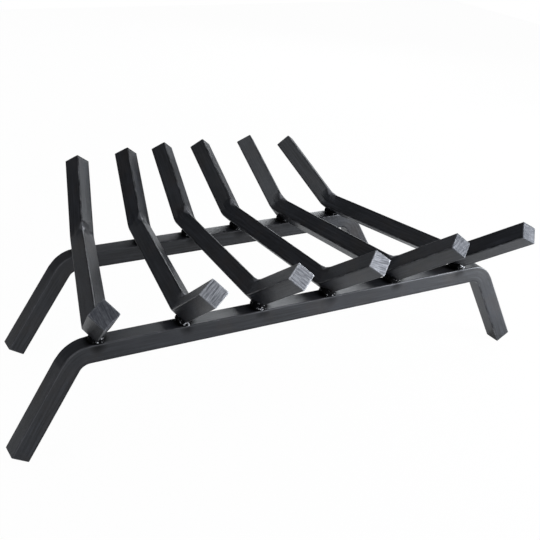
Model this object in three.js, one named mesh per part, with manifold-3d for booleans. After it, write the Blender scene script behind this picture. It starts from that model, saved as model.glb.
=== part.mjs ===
// Fireplace log grate. Two rails of square bar end in splayed legs, and six log bars of the
// same stock lie across them on edge in a fan, turned up at both ends and welded down on
// either side wherever a bar crosses a rail.
//
// Millimetres and degrees. +X runs along the rails, +Y to the back of the fire and +Z up.
// The origin lies on the hearth, under the middle of the grate's footprint.

import * as THREE from 'three';
import { mergeVertices } from 'three/addons/utils/BufferGeometryUtils.js';
import Module from 'manifold-3d';

// ---- Stock ------------------------------------------------------------------
const STOCK_SIDE = 19.05; // three-quarter inch square bar
const STOCK_CORNER_RADIUS = 1; // on the rolled long edges
const SAWN_END_BEVEL = 0.5; // burr dressed off round a sawn end
const FIT_GAP = 0.3; // between pieces that touch

// ---- Rails ------------------------------------------------------------------
const RAIL_TOP_HEIGHT = 111; // top faces above the hearth
const RAIL_SPACING = 189; // front rail's middle to rear rail's middle
const RAIL_BEND_INSIDE_RADIUS = 11; // where a rail turns down into a leg
const RAIL_BEND_THINNING = 1; // off its stretched outer face at the middle of that bend
const RAIL_BEND_FLARE = 0.035; // share by which its squeezed inner face spreads
const RAIL_PINCH_REACH = 11; // from the middle of the bend, along the inner face
const FRONT_SHOULDER = 243.5; // middle of the rail to the corner of its bend
const REAR_SHOULDER = 187;
const FRONT_LEG_SPLAY = 30; // lean of the legs from upright
const REAR_LEG_SPLAY = 32;
const FOOT_LAND_WIDTH = 1.2; // dressed flat along the edge that a foot stands on

// ---- Log bars ---------------------------------------------------------------
const FRONT_BAR_INSET = 30; // outermost bars in from the rail's shoulders
const REAR_BAR_INSET = 23.5;
const BAR_BEND_INSIDE_RADIUS = 2.5; // to the bar's top edge
const FRONT_BEND_REACH = 1; // corner of the bend beyond the rail's middle
const REAR_BEND_REACH = 9;
const FRONT_RISE = 35; // angle of the turned-up ends
const REAR_RISE = 36.5;
const FRONT_ARM = 102; // corner of the bend to the sawn end
const REAR_ARM = 101.5;
const BEND_MARK_REACH = 9; // kite-shaped mark where a bend squeezes the top edge: half length
const BEND_MARK_HALF_WIDTH = 3.9;
const BEND_MARK_CREST_RISE = 0.9; // of the squeezed-out metal over the sharp top edge
const BEND_MARK_SIDE_DROP = 1.2; // from the sharp top edge to the mark's two sides
const BEND_LIP_OFFSET = 8; // top edge to where the swollen metal meets the faces
const BEND_LIP_HEIGHT = 0.3;

// Each bar as it was bent and set by hand, from the left: its roll, and at either end how far it
// strays to the right of its even place on the rail, how far past the nominal its bend lies and
// its arm reaches, and how much steeper the arm stands. Lengths are in sides of the stock.
const HAND_SET_BARS = [
  {
    roll: -0.5,
    front: { stray: -0.47, bend: 0.13, arm: 0.31, rise: 0 },
    rear: { stray: -0.18, bend: -0.1, arm: -0.08, rise: 0 },
  },
  {
    roll: -2,
    front: { stray: -0.26, bend: 0, arm: 0.42, rise: 0 },
    rear: { stray: 0.05, bend: 0.08, arm: 0, rise: 0 },
  },
  {
    roll: -1,
    front: { stray: -0.42, bend: -0.16, arm: -0.05, rise: 0 },
    rear: { stray: -0.29, bend: 0.1, arm: 0.08, rise: 0 },
  },
  {
    roll: 3,
    front: { stray: -0.55, bend: -0.1, arm: -0.29, rise: 0 },
    rear: { stray: -0.34, bend: 0.24, arm: 0.13, rise: -3 },
  },
  {
    roll: -3,
    front: { stray: -0.55, bend: 0.05, arm: 0.1, rise: 1.5 },
    rear: { stray: -0.31, bend: 0.05, arm: -0.08, rise: 2 },
  },
  {
    roll: 9,
    front: { stray: -0.26, bend: 0, arm: -0.1, rise: 1 },
    rear: { stray: -0.03, bend: -0.24, arm: 0.08, rise: -4.5 },
  },
];

// ---- Weld beads -------------------------------------------------------------
const WELD_LEG = 8; // reach of a bead along the rail
const WELD_CLIMB = 1.25; // its reach up the bar, in those legs
const WELD_CROWN = 0.9; // bulge of its face past a straight fillet
const WELD_OVERRUN = 1.6; // past the rail's front face
const WELD_LIP = 1.4; // sag over the rail's front edge
const WELD_ROOT = 2; // depth by which a bead starts inside the bar, cut away to the fit
const WELD_END_SHARE = 0.75; // size of a bead's round ends, as a share of its leg
const WELD_END_BLUNTNESS = 6;
const WELD_START_SWELL = 0.18; // share by which it is fatter where it starts
const WELD_START_AT = -0.75; // from -1 at its front end to 1 at its rear end
const WELD_START_REACH = 0.25;
const WELD_WANDER = 0.07; // unevenness of a hand-laid bead, as a share of its leg
const WELD_WAVES = 1.6; // of that, along a bead

// ---- Facets -----------------------------------------------------------------
const BEND_STEPS = 6;
const PINCH_LEAD_STEPS = 2; // where a pinch runs on past the arc of its bend
const WELD_STATIONS = 9;
const WELD_FACE_STEPS = 4;

const PLACES = {
  front: {
    y: -RAIL_SPACING / 2,
    outward: -1,
    shoulder: FRONT_SHOULDER,
    splay: FRONT_LEG_SPLAY,
    barInset: FRONT_BAR_INSET,
    bend: FRONT_BEND_REACH,
    arm: FRONT_ARM,
    rise: FRONT_RISE,
  },
  rear: {
    y: RAIL_SPACING / 2,
    outward: 1,
    shoulder: REAR_SHOULDER,
    splay: REAR_LEG_SPLAY,
    barInset: REAR_BAR_INSET,
    bend: REAR_BEND_REACH,
    arm: REAR_ARM,
    rise: REAR_RISE,
  },
};
const BAR_DEPTH = (STOCK_SIDE / 2) * Math.SQRT2; // a log bar's middle line to its edges

const wasm = await Module();
wasm.setup();

const radians = THREE.MathUtils.degToRad;
const lerp = THREE.MathUtils.lerp;
const smoothstep = THREE.MathUtils.smoothstep;

// ---- Solids -----------------------------------------------------------------

/** Turns a closed geometry into a solid that can be cut. */
function toSolid(geometry) {
  const bare = geometry.clone();
  bare.deleteAttribute('normal');
  bare.deleteAttribute('uv');
  const merged = mergeVertices(bare, 1e-4);
  return new wasm.Manifold(new wasm.Mesh({
    numProp: 3,
    vertProperties: new Float32Array(merged.attributes.position.array),
    triVerts: new Uint32Array(merged.index.array),
  }));
}

/** Turns a solid back into a geometry. */
function toGeometry(solid) {
  const mesh = solid.getMesh();
  const positions = new Float32Array(mesh.numVert * 3);
  for (let vertex = 0; vertex < mesh.numVert; vertex += 1) {
    for (let axis = 0; axis < 3; axis += 1) {
      positions[vertex * 3 + axis] = mesh.vertProperties[vertex * mesh.numProp + axis];
    }
  }
  const geometry = new THREE.BufferGeometry();
  geometry.setAttribute('position', new THREE.BufferAttribute(positions, 3));
  geometry.setIndex(Array.from(mesh.triVerts));
  geometry.computeVertexNormals();
  return geometry;
}

/** Skins a row of rings, each a list of as many points, and closes both ends. */
function skinRings(rings) {
  const count = rings[0].length;
  const positions = rings.flat().flatMap((point) => point.toArray());
  const index = [];
  for (let ring = 0; ring + 1 < rings.length; ring += 1) {
    for (let side = 0; side < count; side += 1) {
      const here = ring * count + side;
      const beside = ring * count + ((side + 1) % count);
      index.push(here + count, beside + count, beside, here + count, beside, here);
    }
  }
  const lastRing = (rings.length - 1) * count;
  for (let side = 1; side + 1 < count; side += 1) {
    index.push(0, side, side + 1);
    index.push(lastRing, lastRing + side + 1, lastRing + side);
  }
  const geometry = new THREE.BufferGeometry();
  geometry.setAttribute('position', new THREE.Float32BufferAttribute(positions, 3));
  geometry.setIndex(index);
  geometry.computeVertexNormals();
  return geometry;
}

// ---- Bent bar ---------------------------------------------------------------

/**
 * Walks the middle line of a rod that is bent in one plane: straight between its corners, with
 * an arc at each inner one. A bend has its inside radius, the depth from there to the middle
 * line, how far its pinch reaches from its middle, and how the pinch fades over that reach. A
 * station has its point, its heading, its pinch (1 at the middle of a bend, 0 clear of it) and
 * how much its section is drawn in (inset) for the bevel of a sawn end.
 */
function walkRod(corners, { insideRadius, depth, pinchReach, fade }) {
  const headingTo = (from, to) => Math.atan2(to.y - from.y, to.x - from.x);
  const step = (from, heading, length) => new THREE.Vector2(
    from.x + Math.cos(heading) * length,
    from.y + Math.sin(heading) * length,
  );
  const pinchAt = (distance) => fade(Math.max(0, 1 - distance / pinchReach));
  const bendRadius = insideRadius + depth;
  const last = corners.length - 1;
  const firstHeading = headingTo(corners[0], corners[1]);
  const lastHeading = headingTo(corners[last - 1], corners[last]);
  const stations = [
    { point: corners[0], heading: firstHeading, pinch: 0, inset: SAWN_END_BEVEL },
    { point: step(corners[0], firstHeading, SAWN_END_BEVEL), heading: firstHeading, pinch: 0, inset: 0 },
  ];
  for (let corner = 1; corner < last; corner += 1) {
    const before = headingTo(corners[corner - 1], corners[corner]);
    const turn = headingTo(corners[corner], corners[corner + 1]) - before;
    const side = Math.sign(turn);
    const setback = bendRadius * Math.tan(Math.abs(turn) / 2);
    const halfArc = (insideRadius * Math.abs(turn)) / 2;
    const lead = Math.max(0, pinchReach - halfArc);
    const start = step(corners[corner], before, -setback);
    const centre = step(start, before + Math.PI / 2, side * bendRadius);
    for (let run = PINCH_LEAD_STEPS; run > 0; run -= 1) {
      const beyond = (lead * run) / PINCH_LEAD_STEPS;
      const pinch = pinchAt(halfArc + beyond);
      stations.push({ point: step(start, before, -beyond), heading: before, pinch, inset: 0 });
    }
    for (let arc = 0; arc <= BEND_STEPS; arc += 1) {
      const share = arc / BEND_STEPS;
      const heading = before + turn * share;
      stations.push({
        point: step(centre, heading + Math.PI / 2, -side * bendRadius),
        heading,
        pinch: pinchAt(halfArc * Math.abs(2 * share - 1)),
        inset: 0,
      });
    }
    const after = before + turn;
    const end = step(corners[corner], after, setback);
    for (let run = 1; run <= PINCH_LEAD_STEPS; run += 1) {
      const beyond = (lead * run) / PINCH_LEAD_STEPS;
      const pinch = pinchAt(halfArc + beyond);
      stations.push({ point: step(end, after, beyond), heading: after, pinch, inset: 0 });
    }
  }
  stations.push(
    { point: step(corners[last], lastHeading, -SAWN_END_BEVEL), heading: lastHeading, pinch: 0, inset: 0 },
    { point: corners[last], heading: lastHeading, pinch: 0, inset: SAWN_END_BEVEL },
  );
  return stations;
}

/**
 * Carries a section along a rod that lies in an upright plane. The plane's level direction is
 * `along`; a section's points are (across, up), with up square to the rod in that plane.
 */
function sweepRod(stations, along, sectionAt) {
  const up = new THREE.Vector3(0, 0, 1);
  const across = along.clone().cross(up);
  const rings = stations.map((station) => {
    const drawnIn = 1 - station.inset / (STOCK_SIDE / 2);
    const lift = up.clone().multiplyScalar(Math.cos(station.heading));
    lift.addScaledVector(along, -Math.sin(station.heading));
    return sectionAt(station).map((point) => new THREE.Vector3()
      .addScaledVector(along, station.point.x)
      .addScaledVector(up, station.point.y)
      .addScaledVector(across, point.x * drawnIn)
      .addScaledVector(lift, point.y * drawnIn));
  });
  return skinRings(rings);
}

/** From the middle of square stock to the tip of a rounded corner. */
function roundedTip(halfSide, radius) {
  return halfSide * Math.SQRT2 - (Math.SQRT2 - 1) * radius;
}

/** Three points round one rounded corner of square stock, the corner pointing at `bearing`. */
function cornerPoints(bearing, halfSide, radius) {
  const spread = radius / Math.SQRT2;
  const shoulder = halfSide * Math.SQRT2 - spread;
  return [
    { off: -spread, out: shoulder },
    { off: 0, out: roundedTip(halfSide, radius) },
    { off: spread, out: shoulder },
  ].map(({ off, out }) => turned(off, out, bearing));
}

/** A point `out` towards a bearing and `off` to its left. */
function turned(off, out, bearing) {
  return new THREE.Vector2(
    Math.cos(bearing) * out - Math.sin(bearing) * off,
    Math.sin(bearing) * out + Math.cos(bearing) * off,
  );
}

// ---- Rails ------------------------------------------------------------------

/** Square section, faces level and upright. A bend thins its upper face and spreads its lower. */
function railSection(grow) {
  const halfSide = STOCK_SIDE / 2 + grow;
  const corners = [45, 135, 225, 315].flatMap(
    (bearing) => cornerPoints(radians(bearing), halfSide, STOCK_CORNER_RADIUS + grow),
  );
  return ({ pinch }) => corners.map(({ x, y }) => {
    const spread = 1 - (RAIL_BEND_FLARE * pinch * y) / halfSide;
    const thinning = y > 0 ? RAIL_BEND_THINNING * pinch : 0;
    return new THREE.Vector2(x * spread, y - thinning);
  });
}

/** A rail's middle line, foot to foot. Its square-cut ends reach a little under the hearth. */
function railCorners({ shoulder, splay }) {
  const lean = radians(splay);
  const axisHeight = RAIL_TOP_HEIGHT - STOCK_SIDE / 2;
  const landDepth = FOOT_LAND_WIDTH * Math.sin(lean) * Math.cos(lean);
  const leg = (axisHeight + landDepth - (STOCK_SIDE / 2) * Math.sin(lean)) / Math.cos(lean);
  const footX = shoulder + leg * Math.sin(lean);
  const footHeight = axisHeight - leg * Math.cos(lean);
  return [
    new THREE.Vector2(-footX, footHeight),
    new THREE.Vector2(-shoulder, axisHeight),
    new THREE.Vector2(shoulder, axisHeight),
    new THREE.Vector2(footX, footHeight),
  ];
}

/** A rail in its own upright plane, or with `grow` the space that it needs. */
function railGeometry(place, grow = 0) {
  const stations = walkRod(railCorners(place), {
    insideRadius: RAIL_BEND_INSIDE_RADIUS,
    depth: STOCK_SIDE / 2,
    pinchReach: RAIL_PINCH_REACH,
    fade: (share) => smoothstep(share, 0, 1),
  });
  return sweepRod(stations, new THREE.Vector3(1, 0, 0), railSection(grow));
}

/** The rail's feet are cut off level with the hearth, which leaves the narrow lands. */
function standOnHearth(geometry) {
  return toGeometry(toSolid(geometry).trimByPlane([0, 0, 1], 0));
}

// ---- Log bars ---------------------------------------------------------------

/** Section on edge. A bend squeezes its top edge into a low roof that swells the sides. */
function barSection(roll, grow) {
  const halfSide = STOCK_SIDE / 2 + grow;
  const radius = STOCK_CORNER_RADIUS + grow;
  const tip = halfSide * Math.SQRT2;
  const topBearing = Math.PI / 2 + roll;
  const plainCorners = [1, 2, 3].flatMap(
    (quarter) => cornerPoints(topBearing + (quarter * Math.PI) / 2, halfSide, radius),
  );
  return ({ pinch }) => {
    const markSide = lerp(radius / Math.SQRT2, BEND_MARK_HALF_WIDTH, pinch);
    const sideDrop = lerp(radius / Math.SQRT2, BEND_MARK_SIDE_DROP, pinch);
    const crest = lerp(roundedTip(halfSide, radius), tip + BEND_MARK_CREST_RISE, pinch);
    const lip = (BEND_LIP_HEIGHT * pinch) / Math.SQRT2;
    const topCorner = [
      turned(-BEND_LIP_OFFSET - lip, tip - BEND_LIP_OFFSET + lip, topBearing),
      turned(-markSide, tip - sideDrop, topBearing),
      turned(0, crest, topBearing),
      turned(markSide, tip - sideDrop, topBearing),
      turned(BEND_LIP_OFFSET + lip, tip - BEND_LIP_OFFSET + lip, topBearing),
    ];
    return [...topCorner, ...plainCorners];
  };
}

/** Where bar `number` (from 0, at the left) lies, and what its own bends are. */
function layOutBar(number) {
  const hand = HAND_SET_BARS[number];
  const share = (2 * number) / (HAND_SET_BARS.length - 1) - 1;
  const [front, rear] = ['front', 'rear'].map((name) => {
    const place = PLACES[name];
    const x = share * (place.shoulder - place.barInset) + hand[name].stray * STOCK_SIDE;
    const bend = place.bend + hand[name].bend * STOCK_SIDE;
    const arm = place.arm + hand[name].arm * STOCK_SIDE;
    const rise = radians(place.rise + hand[name].rise);
    return {
      at: new THREE.Vector3(x, place.y, RAIL_TOP_HEIGHT),
      outward: place.outward,
      bend,
      rise,
      reach: bend + arm * Math.cos(rise),
      climb: arm * Math.sin(rise),
    };
  });
  const span = front.at.distanceTo(rear.at);
  const roll = radians(hand.roll);
  const tip = roundedTip(STOCK_SIDE / 2, STOCK_CORNER_RADIUS);
  const axisHeight = tip * Math.cos(roll) + FIT_GAP;
  return {
    heading: Math.atan2(front.at.x - rear.at.x, rear.at.y - front.at.y),
    roll,
    edgeShift: tip * Math.sin(roll),
    crossings: { front, rear },
    corners: [
      new THREE.Vector2(-front.reach, axisHeight + front.climb),
      new THREE.Vector2(-front.bend, axisHeight),
      new THREE.Vector2(span + rear.bend, axisHeight),
      new THREE.Vector2(span + rear.reach, axisHeight + rear.climb),
    ],
  };
}

/** A log bar in its own frame: its front crossing at the origin, its length along +Y. */
function barGeometry(layout, grow = 0) {
  const stations = walkRod(layout.corners, {
    insideRadius: BAR_BEND_INSIDE_RADIUS,
    depth: BAR_DEPTH,
    pinchReach: BEND_MARK_REACH,
    fade: (share) => share,
  });
  return sweepRod(stations, new THREE.Vector3(0, 1, 0), barSection(layout.roll, grow));
}

/** How far a bar's bottom edge has lifted off the rail, `along` the bar from its crossing. */
function edgeLift({ outward, bend, rise }, along) {
  const setback = (BAR_BEND_INSIDE_RADIUS + BAR_DEPTH) * Math.tan(rise / 2);
  const outerRadius = BAR_BEND_INSIDE_RADIUS + 2 * BAR_DEPTH;
  const arcRun = outerRadius * Math.sin(rise);
  const run = Math.max(0, outward * along - (bend - setback));
  if (run < arcRun) {
    return outerRadius - Math.sqrt(outerRadius ** 2 - run ** 2);
  }
  return outerRadius * (1 - Math.cos(rise)) + (run - arcRun) * Math.tan(rise);
}

// ---- Weld beads -------------------------------------------------------------

/**
 * One section of a bead in the corner between the rail's top and the bar's lower face, `side`
 * of the bar (-1 left, 1 right). The corner opens by `opening`, the bar's edge stands `lift`
 * off the rail, and the bead reaches `leg` along the rail. Its back runs inside both pieces, to
 * be cut away.
 */
function beadSection(side, opening, lift, leg) {
  const climb = leg * WELD_CLIMB;
  const railToe = new THREE.Vector2(leg, 0);
  const barToe = new THREE.Vector2(climb * Math.cos(opening), lift + climb * Math.sin(opening));
  const chord = barToe.clone().sub(railToe);
  const outward = new THREE.Vector2(chord.y, -chord.x).normalize();
  const points = [
    new THREE.Vector2(FIT_GAP / 2, -WELD_LIP),
    new THREE.Vector2(leg, -WELD_LIP),
  ];
  for (let face = 0; face <= WELD_FACE_STEPS; face += 1) {
    const share = face / WELD_FACE_STEPS;
    const crown = WELD_CROWN * Math.sin(Math.PI * share);
    points.push(railToe.clone().addScaledVector(chord, share).addScaledVector(outward, crown));
  }
  points.push(
    new THREE.Vector2(
      barToe.x - WELD_ROOT * Math.sin(opening),
      barToe.y + WELD_ROOT * Math.cos(opening),
    ),
    new THREE.Vector2(FIT_GAP / 2, lift + WELD_ROOT),
  );
  return points.map((point) => new THREE.Vector2(side * point.x, point.y));
}

/** A bead before it is cut: fat where it starts, over the rail's front edge, and round-ended. */
function beadBlank(layout, crossing, side, phase) {
  const halfRun = STOCK_SIDE / 2 / Math.cos(layout.heading);
  const opening = Math.PI / 4 + side * layout.roll;
  const rings = [];
  for (let station = 0; station < WELD_STATIONS; station += 1) {
    const share = Math.sin((station / (WELD_STATIONS - 1) - 0.5) * Math.PI);
    const taper = (1 - WELD_END_SHARE ** 2) * share ** WELD_END_BLUNTNESS;
    const fromStart = (share - WELD_START_AT) / WELD_START_REACH;
    const swell = WELD_START_SWELL * Math.exp(-(fromStart ** 2));
    const uneven = WELD_WANDER * Math.sin(Math.PI * WELD_WAVES * share + phase);
    const leg = WELD_LEG * Math.sqrt(1 - taper) * (1 + swell + uneven);
    const along = lerp(-halfRun - WELD_OVERRUN, halfRun, (share + 1) / 2);
    rings.push(beadSection(side, opening, edgeLift(crossing, along), leg).map(
      (point) => new THREE.Vector3(layout.edgeShift + point.x, along, point.y),
    ));
  }
  return skinRings(side > 0 ? rings : rings.map((ring) => ring.reverse()));
}

// ---- Assembly ---------------------------------------------------------------

const grate = new THREE.Group();

function steel(color, roughness, metalness) {
  return new THREE.MeshStandardMaterial({ color, roughness, metalness });
}

/** Adds one named piece to a parent. */
function addPiece(parent, name, geometry, material) {
  const mesh = new THREE.Mesh(geometry, material);
  mesh.name = name;
  parent.add(mesh);
  return mesh;
}

for (const [name, place] of Object.entries(PLACES)) {
  const geometry = standOnHearth(railGeometry(place));
  const rail = addPiece(grate, `${name}_rail`, geometry, steel(0x44474c, 0.45, 0.75));
  rail.position.y = place.y;
}

// No two beads wander alike: each starts a golden angle further round the wave.
const PHASE_STEP = Math.PI * (3 - Math.sqrt(5));
let beads = 0;

HAND_SET_BARS.forEach((_, number) => {
  const layout = layOutBar(number);
  const bar = new THREE.Group();
  bar.position.copy(layout.crossings.front.at);
  bar.rotation.z = layout.heading;
  bar.updateMatrix();
  grate.add(bar);
  addPiece(bar, `log_bar_${number + 1}`, barGeometry(layout), steel(0x2c2d31, 0.42, 0.75));
  const barSpace = toSolid(barGeometry(layout, FIT_GAP).applyMatrix4(bar.matrix));

  for (const [name, place] of Object.entries(PLACES)) {
    const crossing = layout.crossings[name];
    const railSpace = toSolid(railGeometry(place, FIT_GAP).translate(0, place.y, 0));
    const welds = new THREE.Group();
    welds.position.copy(crossing.at);
    welds.rotation.z = layout.heading;
    welds.updateMatrix();
    grate.add(welds);
    for (const [hand, side] of [['left', -1], ['right', 1]]) {
      beads += 1;
      const blank = beadBlank(layout, crossing, side, beads * PHASE_STEP);
      const solid = toSolid(blank.applyMatrix4(welds.matrix));
      const bead = toGeometry(solid.subtract(railSpace).subtract(barSpace));
      bead.applyMatrix4(welds.matrix.clone().invert());
      addPiece(welds, `weld_${name}_${number + 1}_${hand}`, bead, steel(0x55565a, 0.6, 0.8));
    }
  }
});

// The footprint's middle becomes the origin.
grate.updateMatrixWorld(true);
const footprint = new THREE.Box3().setFromObject(grate, true).getCenter(new THREE.Vector3());
grate.position.set(-footprint.x, -footprint.y, 0);
grate.updateMatrixWorld(true);

export default grate;
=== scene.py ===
"""Fireplace log grate: the looks of its bent square bar, its weld beads and its sawn ends."""

import bmesh
import bpy
import numpy as np
from mathutils import Matrix, Vector


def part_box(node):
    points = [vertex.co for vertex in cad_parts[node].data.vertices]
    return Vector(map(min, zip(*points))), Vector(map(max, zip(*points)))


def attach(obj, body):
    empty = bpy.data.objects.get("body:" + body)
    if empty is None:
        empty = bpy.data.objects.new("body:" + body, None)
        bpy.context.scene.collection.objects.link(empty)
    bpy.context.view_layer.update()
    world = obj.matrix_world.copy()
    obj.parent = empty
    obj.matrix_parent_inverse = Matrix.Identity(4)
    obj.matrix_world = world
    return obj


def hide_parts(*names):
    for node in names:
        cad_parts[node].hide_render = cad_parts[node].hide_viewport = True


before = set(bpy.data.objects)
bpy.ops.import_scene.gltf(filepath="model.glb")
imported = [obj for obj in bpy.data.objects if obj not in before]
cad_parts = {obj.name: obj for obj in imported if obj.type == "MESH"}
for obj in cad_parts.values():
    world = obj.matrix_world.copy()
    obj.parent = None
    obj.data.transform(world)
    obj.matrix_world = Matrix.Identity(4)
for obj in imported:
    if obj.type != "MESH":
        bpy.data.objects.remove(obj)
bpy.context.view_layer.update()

bl_info = {
    "name": "Log Grate",
    "version": (1, 0, 0),
    "blender": (4, 5, 0),
    "location": "3D View > Sidebar > Log Grate",
    "description": "Builds a welded log grate of square steel bar round its solid frame",
    "category": "Add Mesh",
}

MM = 0.001

# Which way is outward along Y at either rail, and where the rails stand, from the frame.
OUTWARD = {"front": -1.0, "rear": 1.0}
RAIL_Y = {name: sum(corner.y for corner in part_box(name + "_rail")) / 2 for name in OUTWARD}
RAIL_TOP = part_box("front_rail")[1].z

# Each bar as it was bent and set by hand, from the left: its roll in degrees, and at either end
# how far it strays to the right, how far past the nominal its bend lies and its arm reaches, and
# how much steeper the arm stands, in degrees. Lengths are in sides of the stock. `bare` is the
# share of bare metal on its front end, set low on the fifth and sixth bars as painted shade that
# offsets the low lamp at the right, and `saw` turns the saw's marks there, in degrees.
HAND_SET_BARS = [
    {"roll": -0.5, "bare": 0.18, "saw": -20,
     "front": (-0.47, 0.13, 0.31, 0), "rear": (-0.18, -0.1, -0.08, 0)},
    {"roll": -2, "bare": 1, "saw": 90,
     "front": (-0.26, 0, 0.42, 0), "rear": (0.05, 0.08, 0, 0)},
    {"roll": -1, "bare": 1, "saw": 0,
     "front": (-0.42, -0.16, -0.05, 0), "rear": (-0.29, 0.1, 0.08, 0)},
    {"roll": 3, "bare": 0.7, "saw": 20,
     "front": (-0.55, -0.1, -0.29, 0), "rear": (-0.34, 0.24, 0.13, -3)},
    {"roll": -3, "bare": 0.08, "saw": 65,
     "front": (-0.55, 0.05, 0.1, 1.5), "rear": (-0.31, 0.05, -0.08, 2)},
    {"roll": 9, "bare": 0.03, "saw": 10,
     "front": (-0.26, 0, -0.1, 1), "rear": (-0.03, -0.24, 0.08, -4.5)},
]

# The camera stands where the fit of the bars' edges puts it.
CAMERA_PLACE = (-0.48862, -0.81224, 0.54974)
CAMERA_YAW = 0.5620
CAMERA_PITCH = 0.4432
CAMERA_ROLL = 0.0843
CAMERA_LENS = 62.33
CAMERA_FAR = 100

# The stage, in metres and watts. Each lamp has a name, a place, a width and a power.
FLOOR_HALF_WIDTH = 2.0
LAMPS = (
    ("lamp_front_right", (0.75, -0.6, 0.25), 0.4, 10.0),
    ("lamp_right", (1.3, 0.2, 0.3), 0.6, 7.0),
    ("lamp_back_right", (1.0, 1.3, 0.7), 0.8, 9.4),
    ("lamp_left", (-1.0, -0.4, 1.3), 1.1, 6.2),
    ("lamp_top", (0.2, 0.1, 1.7), 1.0, 4.2),
)
LAMP_AIM = (0, 0, 0.1)
LAMP_COLOUR = (0.93, 0.965, 1.0)
ROOM_COLOUR = (0.93, 0.96, 1.0, 1)
ROOM_STRENGTH = 0.11
WHITE = (1, 1, 1, 1)
FLOOR_COLOUR = (0.9, 0.9, 0.9, 1)
# The share of plain white in what is seen straight, and of that what a reflection shows.
FLOOR_WHITE = 0.98
FLOOR_REFLECTED = 0.2
ROOM_REFLECTED = 0.03

# How finely the surfaces are divided.
SIDE_STEPS = 32
CORNER_STEPS = 4
BEND_STEPS = 25
NEAR_STEP = 1 * MM
FAR_STEP = 4 * MM
BEAD_STATIONS = 72
BEAD_STEPS = 20
MERGE_GAP = 2e-6
TOLERANCE = 1e-7

# How far apart in the noise two pieces lie, so that no two are streaked alike.
COAT_APART = 37.0

# Wavelengths of the rolled faces' unevenness: along the bar, and over its section.
RAIL_WAVES = (23 * MM, 11 * MM, 9 * MM)
BAR_WAVES = (21 * MM, 8 * MM, 10 * MM)

# The saw's furrows: the radius they are bowed by, their own two wavelengths, what shifts them
# along and across the feed, and the patches where they are deeper.
SAW_RADIUS = 150 * MM
SAW_FINE = 0.29 * MM
SAW_COARSE = 0.62 * MM
SAW_SHIFT = 1.3 * MM
SAW_WANDER = 7 * MM
SAW_PATCH = 3.1 * MM

# On a sawn end, in shares of the way from its middle: how far inside its rim the furrows fade,
# where the bright rim starts and how wide it is when it is full.
FURROW_FADE = 0.06
RIM_START = 0.9
RIM_WIDTH = 0.08

# Along a bead, from -1 to 1: the powers of its taper, its swelling's place and width, and its
# waves of unevenness. Across it, its lumps and how near the toe its underside comes.
TAPER_POWERS = (4, 0.6)
SWELL_PLACE = -0.75
SWELL_WIDTH = 0.25
WANDER_WAVES = 5
SHIVER_WAVES = 17
LUMPS_ACROSS = 5
BEAD_UNDER = 0.8


def length(name, description, default):
    """A size in metres, given here in millimetres."""
    return bpy.props.FloatProperty(
        name=name, description=description, default=default * MM, unit="LENGTH", precision=5)


def share(name, description, default):
    """A plain number."""
    return bpy.props.FloatProperty(name=name, description=description, default=default)


def angle(name, description, default):
    """An angle, given here in degrees."""
    return bpy.props.FloatProperty(
        name=name, description=description, default=np.radians(default), subtype="ANGLE")


def colour(name, description, default):
    """A linear colour."""
    return bpy.props.FloatVectorProperty(
        name=name, description=description, default=default, subtype="COLOR", min=0, max=1)


class GrateStock(bpy.types.PropertyGroup):
    """The bar that the grate is made of."""

    side: length("Side", "Three-quarter inch square bar", 19.05)
    corner: length("Corner", "Radius of the rolled long edges", 1.05)
    seat_corner: length("Seat corner", "Radius that the bars are seated on the rails by", 1)
    # The edge mask feeds rubbed metal and the painted dark line beside the long edges.
    edge_mask_fade: length("Worn fade", "How quickly wear falls off beside a long edge", 0.5)
    pressed: length("Pressed", "Rise over the plain edge at which a bend's metal is bright", 0.3)
    bevel: length("Burr", "Dressed off round a sawn end", 0.5)
    unevenness: length("Unevenness", "How far the rolled faces stand out of true", 0.06)
    saw_depth: length("Saw marks", "Depth of the marks on a sawn end", 0.07)
    fit_gap: length("Fit", "Between bars and rails", 0.3)


class GrateRails(bpy.types.PropertyGroup):
    """Two rails that end in splayed legs."""

    front_shoulder: length("Front shoulder", "Middle to the corner of the bend", 243.5)
    rear_shoulder: length("Rear shoulder", "Middle to the corner of the bend", 187)
    front_splay: angle("Front splay", "Lean of the legs from upright", 30)
    rear_splay: angle("Rear splay", "Lean of the legs from upright", 32)
    bend_radius: length("Bend radius", "Inside the bend of a leg", 11)
    thinning: length("Thinning", "Off the stretched outer face of a bend", 1)
    rubbed: share("Rubbed", "How bright the upper front edge is rubbed", 0.6)
    flare: share("Flare", "Share by which the squeezed inner face spreads", 0.035)
    pinch_reach: length("Pinch", "From a bend's middle along its inner face", 11)
    land: length("Foot land", "Width of the dressed edge that a foot stands on", 1.2)


class GrateBars(bpy.types.PropertyGroup):
    """Six log bars in a fan, turned up at both ends."""

    front_inset: length("Front inset", "Outermost bars in from the shoulders", 30)
    rear_inset: length("Rear inset", "Outermost bars in from the shoulders", 23.5)
    bend_radius: length("Bend radius", "To the top edge", 2.5)
    front_bend: length("Front bend", "Corner of the bend past the rail's middle", 1)
    rear_bend: length("Rear bend", "Corner of the bend past the rail's middle", 9)
    front_arm: length("Front arm", "Corner of the bend to the sawn end", 102)
    rear_arm: length("Rear arm", "Corner of the bend to the sawn end", 101.5)
    front_rise: angle("Front rise", "Angle of the turned-up end", 35)
    rear_rise: angle("Rear rise", "Angle of the turned-up end", 36.5)
    mark_reach: length("Mark", "Half length of the kite that a bend squeezes", 9)
    mark_half_width: length("Mark half width", "Of the squeezed kite", 3.9)
    mark_crest: length("Mark crest", "Rise of squeezed metal over the sharp edge", 0.85)
    mark_side: length("Mark side", "Sharp edge down to the kite's sides", 1.2)
    lip_offset: length("Lip offset", "Top edge to the end of the swelling", 8)
    lip_height: length("Lip height", "Of the swollen metal there", 0.3)


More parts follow.
